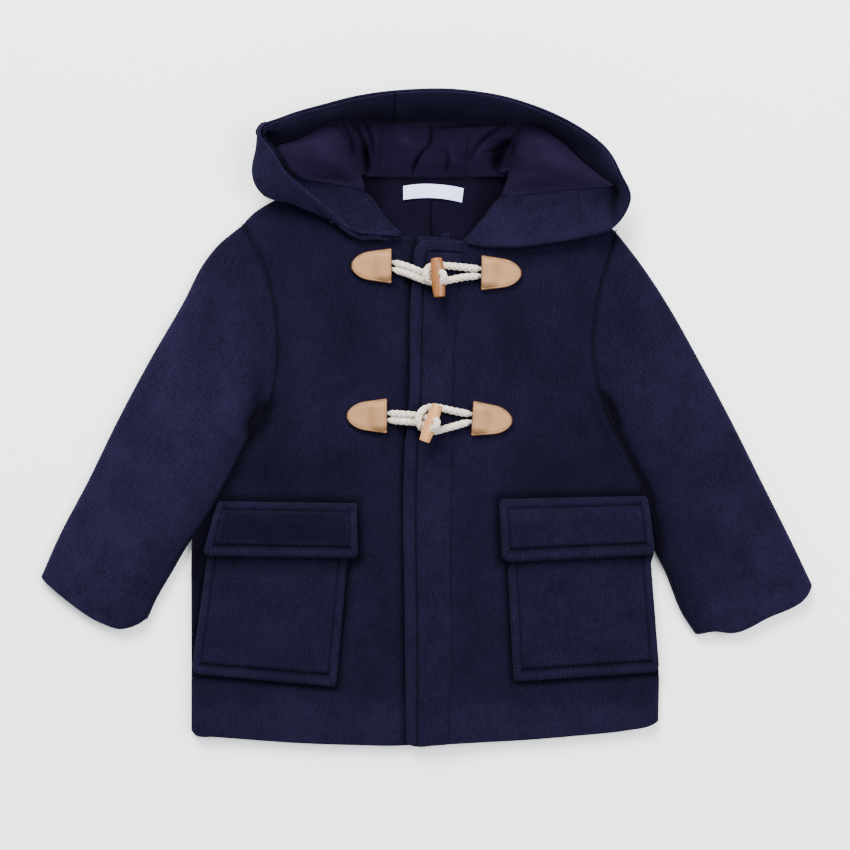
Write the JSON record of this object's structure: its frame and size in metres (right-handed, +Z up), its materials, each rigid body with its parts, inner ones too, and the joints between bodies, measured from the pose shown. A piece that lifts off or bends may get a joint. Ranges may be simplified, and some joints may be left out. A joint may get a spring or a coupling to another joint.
{
  "type": "hooded duffle coat",
  "caption": "Toddler's hooded wool duffle coat laid flat and buttoned up with wooden toggles on cord loops, with flapped patch pockets and a lined hood open upwards.",
  "frame": {"origin": "bottom centre of the bounding box: the surface that the coat lies on, half way between its sleeves and between hood and hem", "axes": "+X to the wearer's left, which is right in the view from above; +Y towards the hood; +Z up from the surface, out of the front of the coat"},
  "size_m": [0.5796, 0.4889, 0.0391],
  "materials": {
    "wool": "navy fulled wool with a fine bird's-eye weave",
    "lining": "smooth dark violet-navy lining",
    "label": "plain white satin, unmarked",
    "leather": "smooth tan leather with a darker cut edge",
    "cord": "cream braided cotton cord",
    "wood": "light brown polished wood"
  },
  "bodies": {
    "root": {"back_panel": "wool", "front_right": "wool", "front_left": "wool", "placket": "wool", "sleeve_right": "wool", "sleeve_left": "wool", "pocket_right": "wool", "pocket_left": "wool", "flap_right": "wool", "flap_left": "wool", "hood_side_right": "wool", "hood_centre": "wool", "hood_side_left": "wool", "hood_facing_right": "wool", "hood_facing_centre": "wool", "hood_facing_left": "wool", "hood_lining_right": "lining", "hood_lining_left": "lining", "hood_lining_centre": "lining", "back_neck_lining": "lining", "neck_label": "label", "neck_tab": "wool", "patch_1_right": "leather", "patch_1_left": "leather", "patch_2_right": "leather", "patch_2_left": "leather", "toggle_cord_1": "cord", "toggle_cord_2": "cord", "loop_cord_1": "cord", "loop_cord_2": "cord", "toggle_1": "wood", "toggle_2": "wood"}
  },
  "joints": []
}
